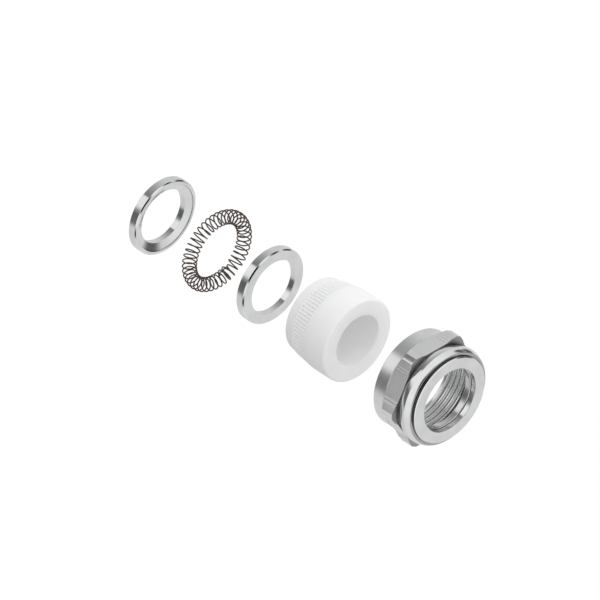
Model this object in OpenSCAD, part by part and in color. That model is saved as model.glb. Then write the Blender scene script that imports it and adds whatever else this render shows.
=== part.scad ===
// Shield contact and clamping set of a metal cable gland, drawn apart along its axis.
// The gland's axis is X: the housing is on the -X side and the cable leaves towards +X. +Z is up.
// The origin is the centre of the rear contact ring's rear face. All lengths are in millimetres.

/* [Contact rings] */
// Outer diameter of both contact rings
ring_od = 21; // [20.5:0.1:21.5]
// Bore of both contact rings
ring_bore = 15; // [14:0.1:15.5]
// Thickness of a contact ring
ring_w = 2.75; // [2.5:0.05:3.2]
// Diameter at which the cone recess meets the ring's face
cone_od = 19; // [18:0.1:19.4]
// Depth of the cone recess
cone_depth = 1; // [0.6:0.05:1.3]
// Chamfer on the ring's outer edges
ring_edge = 0.3; // [0.1:0.05:0.4]

/* [Contact spring] */
// Number of coils in the closed spring
coils = 42; // [36:1:46]
// Diameter of the circle that the coils' centres lie on
coil_circle_d = 18.9; // [18.4:0.1:19.2]
// Outer diameter of one coil
coil_od = 3.9; // [3.4:0.1:4]
// Diameter of the spring wire
wire_d = 0.35; // [0.25:0.05:0.4]
// Coils of the narrow end that is screwed into the wide end
joint_coils = 2; // [1:1:3]

/* [Sealing insert] */
// Outer diameter of the insert's front half
insert_od = 23.4; // [22.8:0.1:23.4]
// Length of the insert
insert_len = 15.8; // [15:0.1:16.5]
// Bore for the cable
insert_bore = 14.2; // [12:0.1:15]
// Diameter of the insert at its rear face, before the rounding
insert_rear_od = 20.4; // [20:0.1:20.8]
// Number of ribs round the rear shoulder
insert_ribs = 72; // [48:1:80]
// Depth of the grooves between the ribs
rib_depth = 0.3; // [0.15:0.05:0.35]

/* [Slip washer] */
// Outer diameter of the slip washer
washer_od = 23.3; // [22:0.1:23.4]
// Bore of the slip washer
washer_bore = 17.1; // [16.6:0.1:17.6]
// Thickness of the slip washer
washer_w = 1.8; // [1:0.1:2.2]

/* [Cap nut] */
// Length of the nut
nut_len = 14; // [13.6:0.1:15]
// Opening in the nut's lip
nut_opening = 17.7; // [17:0.1:18]
// Thickness of the lip
lip_w = 1.55; // [1.4:0.05:1.8]
// Width across the flats between the lugs
flats_w = 26.5; // [26.3:0.05:26.6]
// Diameter over the six corner lugs
lugs_od = 30.8; // [30.4:0.1:31]
// Diameter of the crowned collar
collar_od = 27.3; // [27:0.1:27.6]
// Diameter of the plain band behind the lugs
band_od = 26.8; // [26.7:0.1:27]

/* [Thread] */
// Nominal diameter of the metric thread
thread_d = 25; // [25]
// Pitch of the thread
thread_pitch = 1.5; // [1.5]

/* [Spread along the axis] */
// Centre of the contact spring
spring_x = 21.28; // [12:0.1:30]
// Rear face of the front contact ring
front_ring_x = 39.16; // [30:0.1:45]
// Rear face of the sealing insert
insert_x = 56.7; // [50:0.1:60]
// Rear face of the cap nut
nut_x = 92.15; // [86:0.1:100]

/* [Hidden] */
$fn = 96;

metal = "#c9cbc8";
wire = "#3a302c";
polymer = "#f1f2f2";

arc_steps = 8;
// Points of an arc in an outline, from one angle to the other
function arc(cx, cr, radius, from, to) =
    [for (i = [0:arc_steps]) let (a = from + (to - from) * i / arc_steps)
        [cx + radius * cos(a), cr + radius * sin(a)]];

// Turns a closed outline of [x, radius] points about the gland's axis
module turned(outline) {
    rotate([0, 90, 0])
        rotate_extrude()
            polygon([for (p = outline) [p[1], p[0]]]);
}

// ---- Contact rings ----

function ring_outline() =
    let (out_r = ring_od / 2, in_r = ring_bore / 2, cone_r = cone_od / 2)
    [
        [0, in_r],
        [0, out_r - ring_edge],
        [ring_edge, out_r],
        [ring_w - ring_edge, out_r],
        [ring_w, out_r - ring_edge],
        [ring_w, cone_r],
        [ring_w - cone_depth, in_r]
    ];

module rear_contact_ring() {
    color(metal)
        turned(ring_outline());
}

module front_contact_ring() {
    color(metal)
        translate([front_ring_x + ring_w, 0, 0])
            mirror([1, 0, 0])
                turned(ring_outline());
}

// ---- Contact spring ----

// The wire's section has this many corners, and one coil this many sections
wire_sides = 5;
coil_steps = 10;
// Where the two ends meet, as an angle about the axis from +Y towards +Z
joint_angle = -60;
joint_phase = 288;
coil_r = (coil_od - wire_d) / 2;
// The coils start to narrow this many turns before the wide end comes round again
narrow_before = 1.2;
// The narrow end runs inside the wide one with half a wire between them
joint_r = coil_r - 1.5 * wire_d;
spring_steps = (coils + joint_coils) * coil_steps;

// Radius of the coil after a number of turns: one turn narrows it, just before it enters the wide end
function coil_radius(turn) =
    let (t = min(max(turn - (coils - narrow_before), 0), 1))
    coil_r + (joint_r - coil_r) * t;

function around(angle) = [0, cos(angle), sin(angle)];

// One section of the wire, across its own direction
function wire_section(step) =
    let (
        turn = step / coil_steps,
        station = joint_angle - 360 * turn / coils,
        phase = joint_phase + 360 * turn,
        out = around(station),
        along = -around(station + 90) * (PI * coil_circle_d / coils),
        r = coil_radius(turn),
        side = out * cos(phase) + [1, 0, 0] * sin(phase),
        turning = (out * -sin(phase) + [1, 0, 0] * cos(phase)) * (2 * PI * r),
        tangent = (along + turning) / norm(along + turning),
        other = cross(tangent, side),
        centre = [spring_x, 0, 0] + out * (coil_circle_d / 2) + side * r
    )
    [for (k = [0:wire_sides - 1]) let (a = 360 * k / wire_sides)
        centre + (side * cos(a) + other * sin(a)) * (wire_d / 2)];

module contact_spring() {
    last = spring_steps * wire_sides;
    points = [for (i = [0:spring_steps]) each wire_section(i)];
    ends = [
        [for (k = [wire_sides - 1:-1:0]) k],
        [for (k = [0:wire_sides - 1]) last + k]
    ];
    sides = [for (i = [0:spring_steps - 1]) for (k = [0:wire_sides - 1])
        let (a = i * wire_sides + k, b = i * wire_sides + (k + 1) % wire_sides)
            each [[a, b, b + wire_sides], [a, b + wire_sides, a + wire_sides]]];
    color(wire)
        polyhedron(points, concat(ends, sides), convexity = 10);
}

// ---- Sealing insert ----

insert_edge = 0.75;
insert_rear_edge = 0.8;
bore_front_edge = 0.4;
bore_rear_edge = 0.3;
// Distances from the insert's front face: end of the plain cylinder, then start and end of the ribs
insert_plain = 6.6;
rib_from = 7.8;
rib_to = 12.7;
// Slope of the ribs and how far the surface has dropped where they start
rib_slope = 8;
shoulder_drop = 0.15;
rib_end_od = 21.7;
// Small step behind the ribs
step_long = 0.3;
step_drop = 0.15;
// Share of the rib spacing that a groove takes up at the surface
groove_share = 0.62;

function insert_outline() =
    let (
        front = insert_x + insert_len,
        out_r = insert_od / 2,
        in_r = insert_bore / 2,
        rear_r = insert_rear_od / 2
    )
    concat(
        arc(front - bore_front_edge, in_r + bore_front_edge, bore_front_edge, -90, 0),
        arc(front - insert_edge, out_r - insert_edge, insert_edge, 0, 90),
        [[front - insert_plain, out_r],
         [front - rib_from, out_r - shoulder_drop],
         [front - rib_to, rib_end_od / 2],
         [front - rib_to - step_long, rib_end_od / 2 - step_drop]],
        arc(insert_x + insert_rear_edge, rear_r - insert_rear_edge, insert_rear_edge, 90, 180),
        arc(insert_x + bore_rear_edge, in_r + bore_rear_edge, bore_rear_edge, 180, 270)
    );

// A V-shaped bar that leans with the shoulder, one for each gap between two ribs
module rib_gap() {
    tall = 1;
    valley_r = insert_od / 2 - shoulder_drop - rib_depth;
    half_w = groove_share * PI * insert_od / insert_ribs / 2;
    translate([insert_x + insert_len - rib_from, 0, valley_r])
        rotate([0, -90 - rib_slope, 0])
            linear_extrude(rib_to - rib_from)
                polygon([[0, 0], [tall, half_w * tall / rib_depth], [tall, -half_w * tall / rib_depth]]);
}

module sealing_insert() {
    color(polymer)
        difference() {
            turned(insert_outline());
            for (i = [0:insert_ribs - 1])
                rotate([360 * (i + 0.5) / insert_ribs, 0, 0])
                    rib_gap();
        }
}

// ---- Cap nut ----

nut_front = nut_x + nut_len;
// Thread: its crests stand at crest_r and its roots run a little past the nominal diameter
crest_r = thread_d / 2 - 0.67;
root_r = thread_d / 2 + 0.1;
thread_turns = 4;
root_flat = thread_pitch / 8;
flank = (root_r - crest_r) * tan(30);

// Distances from the nut's front face, outside
face_edge = 0.35;
collar_from = 0.87;
collar_at = 2.9;
collar_end = 4.3;
lugs_from = 5;
lug_slope_from = 8.6;
lugs_to = 10;
rear_edge = 0.3;
// Distances from the nut's front face, inside
lip_edge = 0.15;
chamber_slope = 0.5;
relief_from = 5.8;
relief_w = 0.6;
relief_side = 0.1;
thread_from = 6.4;
thread_to = thread_from + thread_turns * thread_pitch - 0.2;
mouth_slope = 0.9;
// Radii
face_r = 11.75;
boss_r = 12.1;
collar_round = 3.7;
neck_r = 12.9;
chamber_r = 12.2;
mouth_r = root_r + 0.05;

function from_front(points) = [for (p = points) [nut_front - p[0], p[1]]];

// One V groove of the thread, at its distance from the front face
function thread_groove(s) = [
    [s + flank + root_flat / 2, crest_r],
    [s + root_flat / 2, root_r],
    [s - root_flat / 2, root_r],
    [s - flank - root_flat / 2, crest_r]
];

function nut_outside() =
    let (
        opening_r = nut_opening / 2,
        band_r = band_od / 2,
        collar_low = acos((collar_end - collar_at) / collar_round),
        collar_high = 180 - acos((collar_at - collar_from) / collar_round)
    )
    concat(
        [[lip_edge, opening_r], [0, opening_r + lip_edge], [0, face_r], [face_edge, boss_r],
         [collar_from, boss_r]],
        arc(collar_at, collar_od / 2 - collar_round, collar_round, collar_high, collar_low),
        [[lugs_from, neck_r], [lugs_to, neck_r], [lugs_to, band_r], [nut_len - rear_edge, band_r],
         [nut_len, band_r - rear_edge]]
    );

function nut_inside() =
    concat(
        [[nut_len, mouth_r], [thread_to + mouth_slope, mouth_r], [thread_to, crest_r]],
        [for (i = [thread_turns - 1:-1:0])
            each thread_groove(thread_from + (i + 0.5) * thread_pitch - 0.1)],
        [[thread_from, crest_r], [thread_from - relief_side, root_r],
         [relief_from + relief_side, root_r], [relief_from, chamber_r],
         [lip_w + chamber_slope, chamber_r], [lip_w, chamber_r - chamber_slope],
         [lip_w, nut_opening / 2]]
    );

// The middle of each flat is sunk by two fine sloping steps
step_h = 0.2;
sunk_half = 3.8;
ledge_half = 4.7;
// Half of the angle that a lug's top takes up
land_angle = 3.3;
// Half of one flat from its middle outwards, as [sideways, height above the sunk middle]
half_flat = [[sunk_half, 0], [sunk_half + step_h, step_h], [ledge_half, step_h],
             [ledge_half + step_h, 2 * step_h]];

// One flat with the lug top that follows it, turned about the axis
function flat_and_lug(turn) =
    let (
        flat = concat([for (i = [len(half_flat) - 1:-1:0]) [-half_flat[i][0], half_flat[i][1]]], half_flat),
        middle = flats_w / 2
    )
    concat(
        [for (p = flat) [p[0] * cos(turn) + (p[1] + middle) * sin(turn),
                         (p[1] + middle) * cos(turn) - p[0] * sin(turn)]],
        [for (a = [-land_angle, land_angle]) lugs_od / 2 * [sin(turn + 30 + a), cos(turn + 30 + a)]]
    );

// Space that the lugs keep to: square at the front and sloped at the rear
function lug_space() =
    let (over = 1, slope = (lugs_od - band_od) / 2 / (lugs_to - lug_slope_from), low = neck_r - 0.5)
    from_front([[lugs_from, low], [lugs_from, lugs_od / 2 + over],
                [lug_slope_from - over / slope, lugs_od / 2 + over],
                [lugs_to + 0.1, band_od / 2 - 0.1 * slope], [lugs_to + 0.1, low]]);

module lugs() {
    intersection() {
        turned(lug_space());
        translate([nut_front - lugs_to - 1, 0, 0])
            rotate([90, 0, 90])
                linear_extrude(lugs_to - lugs_from + 2)
                    polygon([for (k = [0:5]) each flat_and_lug(60 * k)]);
    }
}

module cap_nut() {
    color(metal)
        union() {
            turned(from_front(concat(nut_outside(), nut_inside())));
            lugs();
        }
}

// ---- Slip washer ----

washer_gap = 0.1;
washer_edge = 0.15;
washer_chamfer = 0.6;

module slip_washer() {
    front = nut_front - lip_w - washer_gap;
    rear = front - washer_w;
    out_r = washer_od / 2;
    in_r = washer_bore / 2;
    color(metal)
        turned([[rear, in_r + washer_edge], [rear + washer_edge, in_r], [front - washer_edge, in_r],
                [front, in_r + washer_edge], [front, out_r - washer_chamfer],
                [front - washer_chamfer, out_r], [rear + washer_edge, out_r],
                [rear, out_r - washer_edge]]);
}

rear_contact_ring();
contact_spring();
front_contact_ring();
sealing_insert();
slip_washer();
cap_nut();
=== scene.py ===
"""Looks of the cable gland's shield contact and clamping set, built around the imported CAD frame."""

import math

import bmesh
import bpy
import numpy as np
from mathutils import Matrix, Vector


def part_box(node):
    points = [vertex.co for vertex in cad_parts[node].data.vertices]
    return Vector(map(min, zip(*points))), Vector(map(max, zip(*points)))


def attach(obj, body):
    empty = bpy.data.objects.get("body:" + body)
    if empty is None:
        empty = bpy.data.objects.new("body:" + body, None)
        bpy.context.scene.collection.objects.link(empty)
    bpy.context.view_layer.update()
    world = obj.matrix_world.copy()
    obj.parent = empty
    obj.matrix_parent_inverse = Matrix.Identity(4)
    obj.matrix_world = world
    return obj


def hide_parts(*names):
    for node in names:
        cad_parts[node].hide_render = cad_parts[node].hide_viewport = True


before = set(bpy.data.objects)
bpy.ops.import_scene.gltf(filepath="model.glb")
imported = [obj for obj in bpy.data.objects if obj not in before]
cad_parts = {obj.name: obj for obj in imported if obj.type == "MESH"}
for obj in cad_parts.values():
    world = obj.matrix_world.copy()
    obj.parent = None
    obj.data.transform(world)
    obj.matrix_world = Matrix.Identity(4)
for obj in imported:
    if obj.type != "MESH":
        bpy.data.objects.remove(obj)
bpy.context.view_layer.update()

MM = 0.001

# ---- Viewing direction: the gland's axis runs down to the right, at 37 degrees from above ----

AZIMUTH = math.radians(46.6)
ELEVATION = math.radians(37.4)
BACK = Vector((
    math.sin(AZIMUTH) * math.cos(ELEVATION),
    -math.cos(AZIMUTH) * math.cos(ELEVATION),
    math.sin(ELEVATION),
))
AXIS = Vector((1, 0, 0))
VIEW_WIDTH = 150 * MM
VIEW_DISTANCE = 0.6
# Point in the middle of the picture: distance along the axis, and distance above it
MIDDLE_ALONG = 50.85 * MM
MIDDLE_ABOVE = 0.85 * MM
# Across the axis: SIDE points at the viewer, ABOVE is square to it and to the axis
SIDE = (BACK - AXIS * BACK.x).normalized()
ABOVE = SIDE.cross(AXIS)


def look_from_front_left():
    camera = bpy.data.cameras.new("camera")
    camera.type = "ORTHO"
    camera.ortho_scale = VIEW_WIDTH
    camera.clip_end = 5
    holder = bpy.data.objects.new("camera", camera)
    bpy.context.scene.collection.objects.link(holder)
    holder.rotation_euler = BACK.to_track_quat("Z", "Y").to_euler()
    holder.location = AXIS * MIDDLE_ALONG + ABOVE * MIDDLE_ABOVE + BACK * VIEW_DISTANCE
    bpy.context.scene.camera = holder


look_from_front_left()

# ---- Meshes ----


def eased(outline, closed=True):
    """Points of an outline of (x, radius, rounding) corners in which each corner becomes an arc."""
    corners = [np.array(p[:2], float) for p in outline]
    count = len(corners)
    points = []
    for i, here in enumerate(corners):
        rounding = outline[i][2] if len(outline[i]) > 2 else 0
        if rounding <= 0 or (not closed and i in (0, count - 1)):
            points.append(here)
            continue
        before = corners[i - 1] - here
        after = corners[(i + 1) % count] - here
        long_before, long_after = np.linalg.norm(before), np.linalg.norm(after)
        before, after = before / long_before, after / long_after
        turn = math.acos(np.clip(-before @ after, -1, 1))
        cut = min(rounding * math.tan(turn / 2), 0.45 * long_before, 0.45 * long_after)
        inwards = (before + after) / np.linalg.norm(before + after)
        centre = here + inwards * cut / math.sin(turn / 2)
        first = here + before * cut - centre
        last = here + after * cut - centre
        steps = max(2, math.ceil(turn / math.radians(18)))
        for k in range(steps + 1):
            t = k / steps
            spoke = (math.sin((1 - t) * turn) * first + math.sin(t * turn) * last) / math.sin(turn)
            points.append(centre + spoke)
    return np.array(points)


def arc(centre_x, centre_r, radius, start, end, steps):
    """Points of an arc in an outline, from one angle to another."""
    angles = np.radians(np.linspace(start, end, steps + 1))
    return [(centre_x + radius * math.cos(a), centre_r + radius * math.sin(a), 0) for a in angles]


def closed_grid(name, x, radius, angles, seam=None):
    """A closed surface round the axis from rows of x and radius (mm) at each angle (degrees).

    seam gives, for each row, the row that it meets where the last column meets the first.
    """
    rows, columns = radius.shape
    turn = np.radians(angles)[None, :]
    points = np.stack([x, radius * np.cos(turn), radius * np.sin(turn)], -1) * MM
    seam = np.arange(rows) if seam is None else seam
    faces = []
    for i in range(rows):
        j = (i + 1) % rows
        for c in range(columns - 1):
            faces.append((i * columns + c, i * columns + c + 1, j * columns + c + 1, j * columns + c))
        faces.append((i * columns + columns - 1, seam[i] * columns, seam[j] * columns,
                      j * columns + columns - 1))
    return finished_mesh(name, points.reshape(-1, 3), faces)


def finished_mesh(name, points, faces):
    """Joins equal points, turns every face outwards and shades the mesh smoothly."""
    mesh = bpy.data.meshes.new(name)
    bm = bmesh.new()
    verts = [bm.verts.new(p) for p in points]
    for face in faces:
        corners = list(dict.fromkeys(face))
        if len(corners) > 2:
            bm.faces.new([verts[i] for i in corners])
    bmesh.ops.remove_doubles(bm, verts=bm.verts, dist=1e-7)
    bmesh.ops.dissolve_degenerate(bm, edges=bm.edges, dist=1e-7)
    bmesh.ops.recalc_face_normals(bm, faces=bm.faces)
    for face in bm.faces:
        face.smooth = True
    bm.to_mesh(mesh)
    bm.free()
    piece = bpy.data.objects.new(name, mesh)
    bpy.context.scene.collection.objects.link(piece)
    return piece


def keep_flats_flat(piece):
    """Shading that follows the large faces, so that only the rounded edges are shaded as round."""
    mesh = piece.data
    normals = np.zeros((len(mesh.vertices), 3))
    for face in mesh.polygons:
        normals[list(face.vertices)] += np.array(face.normal) * face.area
    normals /= np.linalg.norm(normals, axis=1)[:, None]
    mesh.normals_split_custom_set_from_vertices(normals.tolist())


LATHE_COLUMNS = 288


def lathe(name, outline):
    """Turns a closed outline in mm about the axis."""
    angles = np.arange(LATHE_COLUMNS) * 360 / LATHE_COLUMNS
    flat = np.ones(LATHE_COLUMNS)[None, :]
    piece = closed_grid(name, outline[:, :1] * flat, outline[:, 1:] * flat, angles)
    keep_flats_flat(piece)
    return piece


def node_span(node):
    """First x, last x and outer radius of a CAD node, in mm."""
    low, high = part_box(node)
    return low.x / MM, high.x / MM, max(high.y, high.z) / MM


# ---- Contact rings ----

RING_BORE_R = 7.5
CONE_R = 9.5
CONE_DEPTH = 1.0
CONE_WALL = 0.27
RING_EDGE = 0.35


def contact_ring(name, node, opens_forwards):
    """A turned ring with a cone recess on the side that presses on the spring."""
    first, last, outer = node_span(node)
    width = last - first
    outline = [
        (0, RING_BORE_R, 0.06),
        (0, outer - RING_EDGE, 0.05),
        (RING_EDGE, outer, 0.05),
        (width - RING_EDGE, outer, 0.05),
        (width, outer - RING_EDGE, 0.3),
        (width, CONE_R, 0.04),
        (width - CONE_WALL, CONE_R, 0.03),
        (width - CONE_DEPTH, RING_BORE_R, 0.06),
    ]
    points = eased(outline)
    points[:, 0] = first + points[:, 0] if opens_forwards else last - points[:, 0]
    return lathe(name, points)


# ---- Contact spring ----

COILS = 42
JOINT_COILS = 2
COIL_CIRCLE_R = 9.45
COIL_R = 1.775
WIRE_R = 0.175
JOINT_R = COIL_R - 3 * WIRE_R
# The coils narrow this many turns before the wire has gone once round
NARROW_BEFORE = 1.2
# Where the joint lies round the axis, and how far round its coil the wire starts (degrees)
JOINT_ANGLE = -60
JOINT_PHASE = 288
STEPS_PER_COIL = 28
WIRE_SIDES = 10
# Rings that round off the wire's ends: place in wire radii, and share of the wire's radius
WIRE_END = [(-0.9, 0.45), (-0.6, 0.8), (0, 1)]


def spring_path(turns, middle_x):
    """Centre line of the wire after each number of turns round its own coil."""
    station = np.radians(JOINT_ANGLE - 360 * turns / COILS)
    phase = np.radians(JOINT_PHASE + 360 * turns)
    narrowing = np.clip(turns - (COILS - NARROW_BEFORE), 0, 1)
    coil_r = COIL_R + (JOINT_R - COIL_R) * narrowing
    out = COIL_CIRCLE_R + coil_r * np.cos(phase)
    along = middle_x + coil_r * np.sin(phase)
    return np.stack([along, out * np.cos(station), out * np.sin(station)], -1)


def coil_spring(name, node):
    """The wire as one closed tube: once round the ring, then narrower where its ends screw together."""
    first, last, _ = node_span(node)
    middle_x = (first + last) / 2
    turns = np.arange((COILS + JOINT_COILS) * STEPS_PER_COIL + 1) / STEPS_PER_COIL
    path = spring_path(turns, middle_x)
    tangent = np.gradient(path, axis=0)
    tangent /= np.linalg.norm(tangent, axis=1)[:, None]
    station = np.radians(JOINT_ANGLE - 360 * turns / COILS)
    coil_centre = np.stack([
        np.full_like(station, middle_x),
        COIL_CIRCLE_R * np.cos(station),
        COIL_CIRCLE_R * np.sin(station),
    ], -1)
    outwards = path - coil_centre
    outwards -= tangent * np.sum(outwards * tangent, axis=1)[:, None]
    outwards /= np.linalg.norm(outwards, axis=1)[:, None]
    across = np.cross(tangent, outwards)
    rings = [(path[0] + tangent[0] * WIRE_R * back, share, 0) for back, share in WIRE_END]
    rings += [(path[i], 1, i) for i in range(1, len(path) - 1)]
    rings += [(path[-1] - tangent[-1] * WIRE_R * back, share, -1)
              for back, share in reversed(WIRE_END)]
    points = []
    for centre, share, i in rings:
        for k in range(WIRE_SIDES):
            a = 2 * math.pi * k / WIRE_SIDES
            spoke = outwards[i] * math.cos(a) + across[i] * math.sin(a)
            points.append(centre + spoke * WIRE_R * share)
    end = (len(rings) - 1) * WIRE_SIDES
    faces = [tuple(range(WIRE_SIDES)), tuple(end + k for k in range(WIRE_SIDES))]
    for i in range(len(rings) - 1):
        here, there = i * WIRE_SIDES, (i + 1) * WIRE_SIDES
        for k in range(WIRE_SIDES):
            n = (k + 1) % WIRE_SIDES
            faces.append((here + k, here + n, there + n, there + k))
    return finished_mesh(name, np.array(points) * MM, faces)


# ---- Sealing insert ----

INSERT_BORE_R = 7.1
INSERT_REAR_R = 10.2
# Distances from the insert's front: end of the plain part, and where the ribs start and end
INSERT_PLAIN = 6.6
RIB_FROM = 7.8
RIB_TO = 12.7
# How far the ribbed part lies below the plain one at its start, and its radius at its end
RIB_STEP = 0.15
RIB_END_R = 10.85
RIBS = 72
RIB_DEPTH = 0.45
# How far the evenly spaced points of the ribbed part stay from its two ends
RIB_MARGIN = 0.15
# One groove: distance from its middle as a share of the ribs' spacing, and share of the full depth
GROOVE = [(0, 1), (0.06, 0.9), (0.24, 0.2), (0.31, 0.03), (0.37, 0), (0.5, 0)]
# Lengths over which the grooves deepen at their front and run out at their rear
RUN_IN = 0.35
RUN_OUT = 0.2


def rib_depth(turn):
    """How deep the surface lies between two ribs, from 0 on a rib to 1 in a groove's bottom."""
    share = np.abs((turn + 0.5) % 1 - 0.5)
    return np.interp(share, [place for place, _ in GROOVE], [depth for _, depth in GROOVE])


def sealing_insert(name, node):
    """The insert, turned from its profile, with grooves that are cut into its rear shoulder."""
    first, last, outer = node_span(node)
    rib_start_r = outer - RIB_STEP
    shoulder = [
        (last - INSERT_PLAIN, outer, 0.8),
        (last - RIB_FROM, rib_start_r, 0.4),
    ]
    ribbed = [(last - s, np.interp(s, [RIB_FROM, RIB_TO], [rib_start_r, RIB_END_R]), 0)
              for s in np.linspace(RIB_FROM + RIB_MARGIN, RIB_TO - RIB_MARGIN, 10)]
    outline = eased(
        [(last, INSERT_BORE_R, 0.4), (last, outer, 0.75)] + shoulder + ribbed
        + [(last - RIB_TO, RIB_END_R, 0.1), (last - RIB_TO - 0.3, RIB_END_R - 0.15, 0.25),
           (first, INSERT_REAR_R, 0.8), (first, INSERT_BORE_R, 0.3)]
    )
    # Columns of one rib and groove: close together where the surface bends
    shares = np.array([0, 0.06, 0.15, 0.24, 0.31, 0.37, 0.5, 0.63, 0.69, 0.76, 0.85, 0.94])
    turn = (np.arange(RIBS)[:, None] + shares[None, :]).reshape(-1)
    s = last - outline[:, 0]
    on_outside = outline[:, 1] > INSERT_REAR_R - 0.8
    fade = np.clip((s - RIB_FROM) / RUN_IN, 0, 1) * np.clip((RIB_TO - s) / RUN_OUT, 0, 1)
    cut = RIB_DEPTH * np.where(on_outside, fade, 0)[:, None] * rib_depth(turn)[None, :]
    radius = outline[:, 1:] - cut
    x = outline[:, :1] * np.ones(len(turn))[None, :]
    return closed_grid(name, x, radius, (turn + 0.5) * 360 / RIBS)


# ---- Slip washer ----

WASHER_BORE_R = 8.55
WASHER_EDGE = 0.6


def slip_washer(name, node):
    """A flat washer with a bevel on the side that lies against the nut's lip."""
    rear, front, outer = node_span(node)
    return lathe(name, eased([
        (rear, WASHER_BORE_R, 0.15),
        (front, WASHER_BORE_R, 0.15),
        (front, outer - WASHER_EDGE, 0.08),
        (front - WASHER_EDGE, outer, 0.08),
        (rear, outer, 0.15),
    ]))


# ---- Cap nut ----

OPENING_R = 8.85
FACE_R = 11.92
BOSS_R = 12.1
COLLAR_R = 13.65
COLLAR_ROUND = 3.3
NECK_R = 12.9
BAND_R = 13.4
LUG_R = 15.38
# Radius that the lugs' sloped rear would reach at its front end
LUG_SLOPE_R = 15.4
FLAT_W = 26.5
CHAMBER_R = 12.2
CREST_R = 11.83
ROOT_R = 12.6
MOUTH_R = 12.65
PITCH = 1.5
# Distances from the nut's front face, here and in every outline of the nut
LIP_TO, CHAMBER_FROM, CHAMBER_TO = 1.55, 2.05, 5.8
RELIEF_FROM, RELIEF_TO = 5.9, 6.3
COLLAR_FROM, COLLAR_AT, COLLAR_END = 0.87, 2.9, 4.3
LUGS_FROM, LUG_SLOPE_FROM, LUGS_TO = 5.0, 8.6, 10.0
THREAD_FROM, THREAD_TO = 6.4, 12.2
MOUTH_FROM, NUT_LENGTH = 13.1, 14
MOUTH_EDGE = 0.3
BOSS_FROM = 0.35
# Points on the opening's wall where the nut's grid starts and ends
GRID_START, GRID_END = 0.75, 0.5
# Half the width of the close pair of columns on each side of a corner of the section (degrees)
CORNER_HALF = 0.12
# Half of one flat from its middle outwards: sideways, and height above the sunk middle
HALF_FLAT = [(3.8, 0), (4.0, 0.2), (4.7, 0.2), (4.9, 0.4)]
LAND_ANGLE = 3.3


def lug_section():
    """Corners of the lugs' section, as angle and radius, in order round the axis from the first flat."""
    corners = []
    for flat in range(6):
        middle = 30 + 60 * flat
        halves = [(-h, up) for h, up in reversed(HALF_FLAT)] + HALF_FLAT
        for sideways, up in halves:
            distance = FLAT_W / 2 + up
            corners.append((middle + math.degrees(math.atan2(sideways, distance)),
                            math.hypot(sideways, distance)))
        corners += [(middle + 30 - LAND_ANGLE, LUG_R), (middle + 30 + LAND_ANGLE, LUG_R)]
    return corners


def section_radius(corners, angles):
    """Radius of the lugs' section at each angle: straight between corners, round on the lug tops."""
    radius = np.zeros(len(angles))
    for (a, ra), (b, rb) in zip(corners, corners[1:] + [(corners[0][0] + 360, corners[0][1])]):
        inside = ((angles - a) % 360) < (b - a)
        if ra == LUG_R and rb == LUG_R:
            radius[inside] = LUG_R
            continue
        turn = np.radians((angles[inside] - a) % 360)
        whole = math.radians(b - a)
        radius[inside] = ra * rb * math.sin(whole) / (ra * np.sin(turn) + rb * np.sin(whole - turn))
    return radius


def nut_angles(corners):
    """Columns: an even row of them, and a close pair on each side of every corner of the section."""
    pairs = np.array([[a - CORNER_HALF, a + CORNER_HALF] for a, _ in corners]).reshape(-1) % 360
    even = np.arange(0, 360, 1.25)
    gap = np.abs((even[:, None] - pairs[None, :] + 180) % 360 - 180).min(axis=1)
    return np.sort(np.concatenate([even[gap > 0.3], pairs]))


def thread_profile():
    """One pitch of the thread from the middle of a crest to the next, with rounded crests and roots."""
    flank = (ROOT_R - CREST_R) * math.tan(math.radians(30))
    root = PITCH / 8
    half_crest = (PITCH - root) / 2 - flank
    return eased([
        (0, CREST_R),
        (half_crest, CREST_R, 0.3),
        (half_crest + flank, ROOT_R, 0.12),
        (half_crest + flank + root, ROOT_R, 0.12),
        (PITCH - half_crest, CREST_R, 0.3),
        (PITCH, CREST_R),
    ], closed=False)


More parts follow.
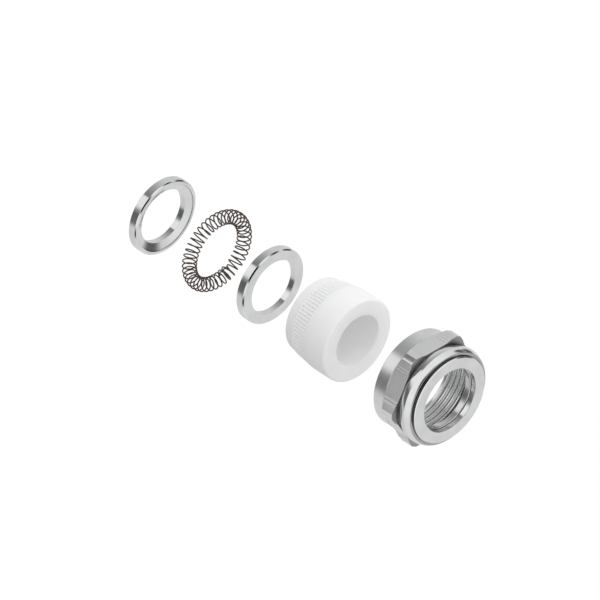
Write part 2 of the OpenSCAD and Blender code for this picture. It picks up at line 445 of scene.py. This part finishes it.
def cap_nut(name, node):
    """The nut as one closed grid: inside from the lip to the rear, then outside back to the front."""
    _, front, _ = node_span(node)
    corners = lug_section()
    angles = nut_angles(corners)
    ones = np.ones(len(angles))
    rows = []

    def add(outline):
        for s, r in eased(outline, closed=False):
            rows.append((s * ones, r * ones))

    add([
        (GRID_START, OPENING_R),
        (LIP_TO, OPENING_R, 0.1),
        (LIP_TO, CHAMBER_R - 0.5, 0.1),
        (CHAMBER_FROM, CHAMBER_R, 0.1),
        (CHAMBER_TO, CHAMBER_R, 0.04),
        (RELIEF_FROM, ROOT_R, 0.04),
        (RELIEF_TO, ROOT_R, 0.04),
        (RELIEF_TO + 0.06, ROOT_R - 0.25),
    ])

    # Thread: rows follow the right-hand helix, so they slide forwards by one pitch round the nut
    profile = thread_profile()
    knots = profile[:-1, 0]
    turns = math.ceil((THREAD_TO - THREAD_FROM) / PITCH) + 1
    bases = [THREAD_FROM + PITCH * k + knot for k in range(turns + 1) for knot in knots]
    thread_first = len(rows)
    for base in bases:
        s = np.clip(base - PITCH * angles / 360, THREAD_FROM, THREAD_TO)
        phase = (s - THREAD_FROM + PITCH * angles / 360) % PITCH
        rows.append((s, np.interp(phase, profile[:, 0], profile[:, 1])))
    thread_last = len(rows) - 1

    add([
        (THREAD_TO + 0.1, ROOT_R + 0.01),
        (MOUTH_FROM, MOUTH_R, 0.2),
        (NUT_LENGTH, MOUTH_R, 0.1),
        (NUT_LENGTH, BAND_R - MOUTH_EDGE, 0.05),
        (NUT_LENGTH - MOUTH_EDGE, BAND_R, 0.08),
        (LUGS_TO + 0.05, BAND_R),
    ])

    # Lugs, from their sloped rear to their square front. The slope meets each point of the section
    # at its own distance, meet, and its edge there is broken a little to each side.
    lug_r = section_radius(corners, angles)
    slope = (LUG_SLOPE_R - BAND_R) / (LUGS_TO - LUG_SLOPE_FROM)
    meet = np.minimum(LUG_SLOPE_FROM + (LUG_SLOPE_R - lug_r) / slope, LUGS_TO - 0.1)
    rows.append((LUGS_TO * ones, np.minimum(BAND_R, lug_r + 0.12)))
    rows.append((np.minimum(meet + 0.08, LUGS_TO - 0.02),
                 np.minimum(lug_r, LUG_SLOPE_R - (meet + 0.08 - LUG_SLOPE_FROM) * slope)))
    rows.append((meet - 0.08, lug_r))
    rows.append((LUGS_FROM + 0.1 * ones, lug_r))
    rows.append((LUGS_FROM + 0.03 * ones, lug_r - 0.03))
    rows.append((LUGS_FROM * ones, lug_r - 0.1))

    crown = COLLAR_R - COLLAR_ROUND
    rear_angle = math.degrees(math.acos((COLLAR_END - COLLAR_AT) / COLLAR_ROUND))
    front_angle = 180 - math.degrees(math.acos((COLLAR_AT - COLLAR_FROM) / COLLAR_ROUND))
    collar = arc(COLLAR_AT, crown, COLLAR_ROUND, rear_angle, front_angle, 14)
    collar[0] = collar[0][:2] + (0.12,)
    collar[-1] = collar[-1][:2] + (0.16,)
    neck = [
        (LUGS_FROM, NECK_R + 0.1),
        (LUGS_FROM, NECK_R, 0.05),
        (COLLAR_END, NECK_R, 0.05),
    ]
    face = [
        (COLLAR_FROM, BOSS_R, 0.04),
        (BOSS_FROM, BOSS_R, 0.06),
        (0, FACE_R, 0.06),
        (0, OPENING_R, 0.15),
        (GRID_END, OPENING_R),
    ]
    add(neck + collar + face)

    seam = np.arange(len(rows))
    thread = slice(thread_first, thread_last + 1)
    seam[thread] = np.clip(seam[thread] - len(knots), thread_first, thread_last)
    x = front - np.array([s for s, _ in rows])
    piece = closed_grid(name, x, np.array([r for _, r in rows]), angles, seam)
    keep_flats_flat(piece)
    return piece


# ---- Materials ----


class Nodes:
    """Short names for the nodes that the materials are made of."""

    def __init__(self, owner):
        owner.use_nodes = True
        self.tree = owner.node_tree

    def add(self, kind, inputs=(), **settings):
        node = self.tree.nodes.new(kind)
        for key, value in settings.items():
            setattr(node, key, value)
        for key, value in dict(inputs).items():
            self.set(node.inputs[key], value)
        return node

    def set(self, socket, value):
        if isinstance(value, bpy.types.NodeSocket):
            self.tree.links.new(value, socket)
        else:
            socket.default_value = value

    def math(self, operation, *values, clamp=False):
        node = self.add("ShaderNodeMath", enumerate(values), operation=operation, use_clamp=clamp)
        return node.outputs[0]

    def dot(self, vector, direction):
        node = self.add("ShaderNodeVectorMath", {0: vector, 1: direction}, operation="DOT_PRODUCT")
        return node.outputs["Value"]

    def mix(self, share, a, b):
        node = self.add("ShaderNodeMix", {"Factor": share}, data_type="RGBA")
        self.set(node.inputs[6], a)
        self.set(node.inputs[7], b)
        return node.outputs[2]

    def ramp(self, value, stops):
        node = self.add("ShaderNodeValToRGB", {"Fac": value})
        elements = node.color_ramp.elements
        elements[0].position, elements[0].color = stops[0][0], grey(stops[0][1])
        elements[1].position, elements[1].color = stops[-1][0], grey(stops[-1][1])
        for place, level in stops[1:-1]:
            elements.new(place).color = grey(level)
        return node.outputs["Color"]

    def noise(self, vector, scale, detail=2.0):
        node = self.add("ShaderNodeTexNoise", {"Vector": vector, "Scale": scale, "Detail": detail})
        return node.outputs["Fac"]


def grey(level):
    """A colour from one number, or the colour itself."""
    return level if hasattr(level, "__len__") else (level, level, level, 1)


# Scale of the turning marks across them and along them, per metre
MARKS_ACROSS = 3800.0
MARKS_ALONG = 90.0
CORNER_SHADE_REACH = 0.45 * MM
# Dark colour painted into corners as their shade
CORNER_PAINTED_SHADE = (0.13, 0.125, 0.12, 1)
MILLED = (0.745, 0.75, 0.75, 1)
# Dark colour painted on the lugs' front faces as their shade
LUG_FRONT_PAINTED_SHADE = (0.36, 0.355, 0.345, 1)
# Added roughness of the finishes
SATIN_ROUGH = 0.14
MILLED_ROUGH = 0.27
# How far the end-milled lug fronts are kept clear of the painted corner shade, and how much painted
# shade lies in the corner before the collar
LUG_FRONT_CLEAR_OF_CORNER_SHADE = 0.8
COLLAR_SHADE_STRENGTH = 0.48


def turned_metal(name, tint, roughness, marks, finishes_and_shade=None):
    """Nickel plate over turned brass: turning marks round the axis, uneven polish, and painted shade in
    the corners.

    finishes_and_shade(n, x, radius) gives the shares of four others: the satin and milled finishes, the
    end-milled lug fronts with painted shade on them, and painted corner shade before the collar.
    """
    material = bpy.data.materials.new(name)
    n = Nodes(material)
    shader = n.tree.nodes["Principled BSDF"]
    place = n.add("ShaderNodeTexCoord").outputs["Object"]
    split = n.add("ShaderNodeSeparateXYZ", {0: place}).outputs
    radius = n.math("SQRT", n.math("ADD", n.math("MULTIPLY", split[1], split[1]),
                                   n.math("MULTIPLY", split[2], split[2])))
    along = n.add("ShaderNodeCombineXYZ", {
        0: n.math("MULTIPLY", split[0], MARKS_ACROSS),
        1: n.math("MULTIPLY", radius, MARKS_ACROSS),
        2: n.math("MULTIPLY", split[1], MARKS_ALONG),
    }).outputs[0]
    lines = n.noise(along, 1.0, 2.0)
    cloud = n.noise(place, 260.0, 3.0)
    shade = n.ramp(cloud, [(0.3, [c * 0.9 for c in tint[:3]] + [1]), (0.7, tint)])
    rough = n.math("MULTIPLY_ADD", lines, 0.12, roughness - 0.06)
    if finishes_and_shade:
        satin, milled, end_milled_and_painted_shade, collar_painted_shade = finishes_and_shade(n, split[0], radius)
        rough = n.math("MULTIPLY_ADD", satin, SATIN_ROUGH, rough)
        rough = n.math("MULTIPLY_ADD", n.math("ADD", milled, end_milled_and_painted_shade), MILLED_ROUGH, rough)
        # The milled flats get their own colour; the end-milled lug fronts get a dark colour painted as
        # their shade
        shade = n.mix(milled, shade, MILLED)
        shade = n.mix(end_milled_and_painted_shade, shade, LUG_FRONT_PAINTED_SHADE)
    # Painted shade: corners that ambient occlusion finds get a dark colour, which stands in for the
    # shade that falls in them
    corner = n.add("ShaderNodeAmbientOcclusion", {"Distance": CORNER_SHADE_REACH}, samples=6, only_local=True)
    unshaded_share = n.ramp(corner.outputs["AO"], [(0.55, 0.0), (0.93, 1.0)])
    # The lug fronts are kept clear of this painted corner shade, and the corner before the collar gets
    # more of it
    if finishes_and_shade:
        clear = n.math("MULTIPLY", end_milled_and_painted_shade, LUG_FRONT_CLEAR_OF_CORNER_SHADE)
        unshaded_share = n.math("MAXIMUM", unshaded_share, clear)
        collar_unshaded = n.math("MULTIPLY_ADD", collar_painted_shade, -COLLAR_SHADE_STRENGTH, 1.0)
        unshaded_share = n.math("MULTIPLY", unshaded_share, collar_unshaded)
    n.set(shader.inputs["Base Color"], n.mix(unshaded_share, CORNER_PAINTED_SHADE, shade))
    shader.inputs["Metallic"].default_value = 1.0
    n.set(shader.inputs["Roughness"], rough)
    ripple = n.add("ShaderNodeBump", {"Strength": 0.5, "Distance": 0.00001,
                                      "Height": n.noise(place, 420.0, 1.0)})
    bump = n.add("ShaderNodeBump", {"Strength": marks, "Distance": 0.00002, "Height": lines,
                                    "Normal": ripple.outputs["Normal"]})
    n.set(shader.inputs["Normal"], bump.outputs["Normal"])
    return material


def lug_finishes_and_shade(n, x, radius):
    """Shares of the nut's finishes and painted shade: satin, milled, end-milled lug fronts with painted
    shade, and painted shade in the corner in front of the collar.

    The small distances keep each of them clear of its neighbour's rounded edge.
    """
    _, front, _ = node_span("cap_nut")
    s = n.math("MULTIPLY_ADD", x, -1 / MM, front)
    r = n.math("MULTIPLY", radius, 1 / MM)
    slope = (LUG_SLOPE_R - BAND_R) / (LUGS_TO - LUG_SLOPE_FROM)
    slope_r = n.math("MULTIPLY_ADD", s, -slope, LUG_SLOPE_R + LUG_SLOPE_FROM * slope)
    below_top = n.math("LESS_THAN", r, LUG_R - 0.05)
    below_slope = n.math("LESS_THAN", r, n.math("SUBTRACT", slope_r, 0.05))
    outside = n.math("GREATER_THAN", r, NECK_R + 0.15)
    behind_front = n.math("GREATER_THAN", s, LUGS_FROM + 0.04)
    before_rear = n.math("LESS_THAN", s, LUGS_TO)
    milled = n.math("MULTIPLY", n.math("MULTIPLY", below_top, below_slope),
                    n.math("MULTIPLY", outside, n.math("MULTIPLY", behind_front, before_rear)))
    # End-milled lug fronts: rougher, and painted darker as their shade
    on_front = n.math("COMPARE", s, LUGS_FROM, 0.04)
    end_milled_and_painted_shade = n.math("MULTIPLY", on_front, n.math("GREATER_THAN", r, NECK_R + 0.3))
    behind_lugs = n.math("GREATER_THAN", s, LUGS_TO)
    inside = n.math("MULTIPLY", n.math("LESS_THAN", r, ROOT_R + 0.1), n.math("GREATER_THAN", s, 2.0))
    satin = n.math("MAXIMUM", behind_lugs, inside)
    # Painted shade: a band of the dark corner colour in the corner in front of the collar
    before_collar = n.math("COMPARE", s, COLLAR_FROM, 0.06)
    collar_painted_shade = n.math("MULTIPLY", before_collar, n.math("GREATER_THAN", r, BOSS_R))
    return satin, milled, end_milled_and_painted_shade, collar_painted_shade


def dark_wire(name):
    """Drawn spring wire: dark brown and half glossy, with faint draw marks."""
    material = bpy.data.materials.new(name)
    n = Nodes(material)
    shader = n.tree.nodes["Principled BSDF"]
    place = n.add("ShaderNodeTexCoord").outputs["Object"]
    cloud = n.noise(place, 900.0, 3.0)
    n.set(shader.inputs["Base Color"], n.ramp(cloud, [(0.3, (0.04, 0.026, 0.02, 1)),
                                                     (0.7, (0.095, 0.062, 0.05, 1))]))
    shader.inputs["Metallic"].default_value = 0.6
    n.set(shader.inputs["Roughness"], n.math("MULTIPLY_ADD", cloud, 0.25, 0.28))
    bump = n.add("ShaderNodeBump", {"Strength": 0.15, "Distance": 0.00002,
                                    "Height": n.noise(place, 5000.0, 2.0)})
    n.set(shader.inputs["Normal"], bump.outputs["Normal"])
    return material


def moulded_white(name):
    """Matte white moulded polymer with a fine spark-eroded grain."""
    material = bpy.data.materials.new(name)
    n = Nodes(material)
    shader = n.tree.nodes["Principled BSDF"]
    place = n.add("ShaderNodeTexCoord").outputs["Object"]
    cloud = n.noise(place, 180.0, 3.0)
    n.set(shader.inputs["Base Color"], n.ramp(cloud, [(0.3, (0.905, 0.91, 0.915, 1)),
                                                     (0.7, (0.93, 0.93, 0.925, 1))]))
    grain = n.noise(place, 6500.0, 2.0)
    n.set(shader.inputs["Roughness"], n.math("MULTIPLY_ADD", grain, 0.15, 0.5))
    shader.inputs["Specular IOR Level"].default_value = 0.35
    shader.inputs["Subsurface Weight"].default_value = 0.08
    shader.inputs["Subsurface Radius"].default_value = (1.0, 1.0, 0.95)
    shader.inputs["Subsurface Scale"].default_value = 0.0006
    bump = n.add("ShaderNodeBump", {"Strength": 0.12, "Distance": 0.00002, "Height": grain})
    n.set(shader.inputs["Normal"], bump.outputs["Normal"])
    return material


# ---- Light and floor ----


def direction(x, side, above):
    return (AXIS * x + SIDE * side + ABOVE * above).normalized()


def around(degrees):
    """Place on a ramp of an angle about the axis, counted from SIDE towards ABOVE."""
    return degrees / 360 + 0.5


# The studio's places are counted along the axis as x, the cosine of the angle from its tip.
# Where the panels ahead begin to take over from those behind, and how steeply
AHEAD_FROM = -0.47
AHEAD_STEEPNESS = 10.0
# Where the even tone round the tip begins, how steeply, and its level
TIP_FROM = 10.4 / 12.0
TIP_STEEPNESS = 12.0
TIP_LEVEL = 0.95
# The dark gap: its middle, its share there before it is limited to 1, how steeply that falls to
# each side, and its level
GAP_AT = 0.577
GAP_PEAK = 1.5
GAP_STEEPNESS = 14.0
GAP_LEVEL = 0.04
# Dark flags: where each stands, the angles at which it is full and gone (degrees), and its level
DARK_FLAGS = [
    (direction(0.74, 0.67, 0), 17, 25, 0.01),
    (direction(0.52, -0.65, 0.55), 12, 21, 0.13),
    (direction(0.28, -0.52, 0.80), 8, 15, 0.12),
    (direction(0.0, -0.30, 0.95), 7, 15, 0.12),
    (direction(-0.12, -0.62, 0.78), 7, 15, 0.12),
]
# Light on the matte pieces: where it comes from, its mean level and how much it varies
SOFT_FROM = direction(0.55, 0.19, 0.81)
SOFT_LEVEL = 0.80
SOFT_RANGE = 0.42


def studio():
    """Soft white studio: what shines in the metal, what lights the matte pieces, and the backdrop."""
    world = bpy.data.worlds.new("studio")
    bpy.context.scene.world = world
    n = Nodes(world)
    look = n.add("ShaderNodeTexCoord").outputs["Generated"]
    x = n.dot(look, AXIS)
    turn = n.math("ARCTAN2", n.dot(look, ABOVE), n.dot(look, SIDE))
    turn = n.math("MULTIPLY_ADD", turn, 1 / (2 * math.pi), 0.5)
    # Panels and gaps behind the pieces, seen in every surface that runs along the axis
    behind = n.ramp(turn, [
        (around(-180), 0.74), (around(-82), 0.74), (around(-72), 0.60), (around(-62), 0.17),
        (around(-34), 0.13), (around(-23), 0.36), (around(-15), 0.85), (around(-8), 1.0),
        (around(19), 1.0), (around(23), 0.20), (around(40), 0.33), (around(60), 0.47),
        (around(80), 0.64), (around(95), 0.74), (around(180), 0.74),
    ])
    ahead = n.ramp(turn, [(around(-180), 0.80), (around(-100), 0.85), (around(-60), 1.0),
                          (around(60), 1.0), (around(100), 0.85), (around(180), 0.80)])
    forwards = n.math("MULTIPLY_ADD", x, AHEAD_STEEPNESS, -AHEAD_FROM * AHEAD_STEEPNESS, clamp=True)
    shine = n.mix(forwards, behind, ahead)
    # Straight along the axis there is one even tone
    tip = n.math("MULTIPLY_ADD", x, TIP_STEEPNESS, -TIP_FROM * TIP_STEEPNESS, clamp=True)
    shine = n.mix(tip, shine, grey(TIP_LEVEL))
    # A dark gap all round the viewer's side, which shows in the corners in front of the shoulders
    off_gap = n.math("ABSOLUTE", n.math("SUBTRACT", x, GAP_AT))
    gap = n.math("MULTIPLY_ADD", off_gap, -GAP_STEEPNESS, GAP_PEAK, clamp=True)
    gap = n.math("MULTIPLY", gap, n.ramp(turn, [(around(-125), 0.0), (around(-100), 1.0),
                                                (around(100), 1.0), (around(125), 0.0)]))
    shine = n.mix(gap, shine, grey(GAP_LEVEL))
    # A dark flag on the viewer's side, and four smaller ones above, away from the viewer
    for flag_at, inner, outer, level in DARK_FLAGS:
        near, far = math.cos(math.radians(inner)), math.cos(math.radians(outer))
        facing = n.dot(look, flag_at)
        share = n.math("MULTIPLY_ADD", facing, 1 / (near - far), -far / (near - far), clamp=True)
        shine = n.mix(share, shine, grey(level))
    # Matte pieces are lit from above and ahead
    lift = n.dot(look, SOFT_FROM)
    soft = n.math("MULTIPLY_ADD", lift, SOFT_RANGE, SOFT_LEVEL)
    paths = n.add("ShaderNodeLightPath").outputs
    lit = n.mix(paths["Is Diffuse Ray"], shine, soft)
    seen = n.mix(paths["Is Camera Ray"], lit, (1, 1, 1, 1))
    background = n.tree.nodes["Background"]
    n.set(background.inputs["Color"], seen)
    background.inputs["Strength"].default_value = 1.0
    # Light is found by following each ray, because what a ray meets here depends on its kind
    world.cycles.sampling_method = "NONE"


FLOOR_BELOW = 100 * MM
FLOOR_REACH = 3.0


def pale_floor():
    """A plain floor well below the pieces, which neither lights them nor shows in them."""
    mesh = bpy.data.meshes.new("floor")
    reach = FLOOR_REACH
    corners = [(-reach, -reach), (reach, -reach), (reach, reach), (-reach, reach)]
    mesh.from_pydata([(x, y, -FLOOR_BELOW) for x, y in corners], [], [(0, 1, 2, 3)])
    floor = bpy.data.objects.new("floor", mesh)
    bpy.context.scene.collection.objects.link(floor)
    material = bpy.data.materials.new("pale_floor")
    n = Nodes(material)
    shader = n.tree.nodes["Principled BSDF"]
    shader.inputs["Base Color"].default_value = (0.98, 0.98, 0.98, 1)
    shader.inputs["Roughness"].default_value = 0.9
    shader.inputs["Specular IOR Level"].default_value = 0.0
    shader.inputs["Emission Color"].default_value = (1, 1, 1, 1)
    shader.inputs["Emission Strength"].default_value = 0.05
    mesh.materials.append(material)
    floor.visible_glossy = False
    floor.visible_diffuse = False


studio()
pale_floor()
bpy.context.scene.view_settings.view_transform = "Standard"

# ---- The pieces ----

NICKEL = (0.795, 0.80, 0.802, 1)
ring_metal = turned_metal("ring_metal", NICKEL, 0.11, 0.08)
washer_metal = turned_metal("washer_metal", (0.76, 0.76, 0.745, 1), 0.2, 0.2)
nut_metal = turned_metal("nut_metal", NICKEL, 0.11, 0.08, lug_finishes_and_shade)
spring_wire = dark_wire("spring_wire")
insert_polymer = moulded_white("insert_polymer")


def place(piece, material, body, node, slot):
    piece.data.materials.append(material)
    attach(piece, body)
    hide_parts(node)


place(contact_ring("rear_ring_turned", "rear_contact_ring", True), ring_metal,
      "rear_ring", "rear_contact_ring", "ring_metal")
spring = coil_spring("spring_coiled", "contact_spring")
# The rings beside it stay bright, because its reflection in their cones would be a rough dark patch
spring.visible_glossy = False
place(spring, spring_wire, "spring", "contact_spring", "spring_wire")
place(contact_ring("front_ring_turned", "front_contact_ring", False), ring_metal,
      "front_ring", "front_contact_ring", "ring_metal")
place(sealing_insert("insert_moulded", "sealing_insert"), insert_polymer,
      "insert", "sealing_insert", "insert_polymer")
place(slip_washer("washer_turned", "slip_washer"), washer_metal,
      "washer", "slip_washer", "washer_metal")
place(cap_nut("nut_turned", "cap_nut"), nut_metal,
      "nut", "cap_nut", "nut_metal")
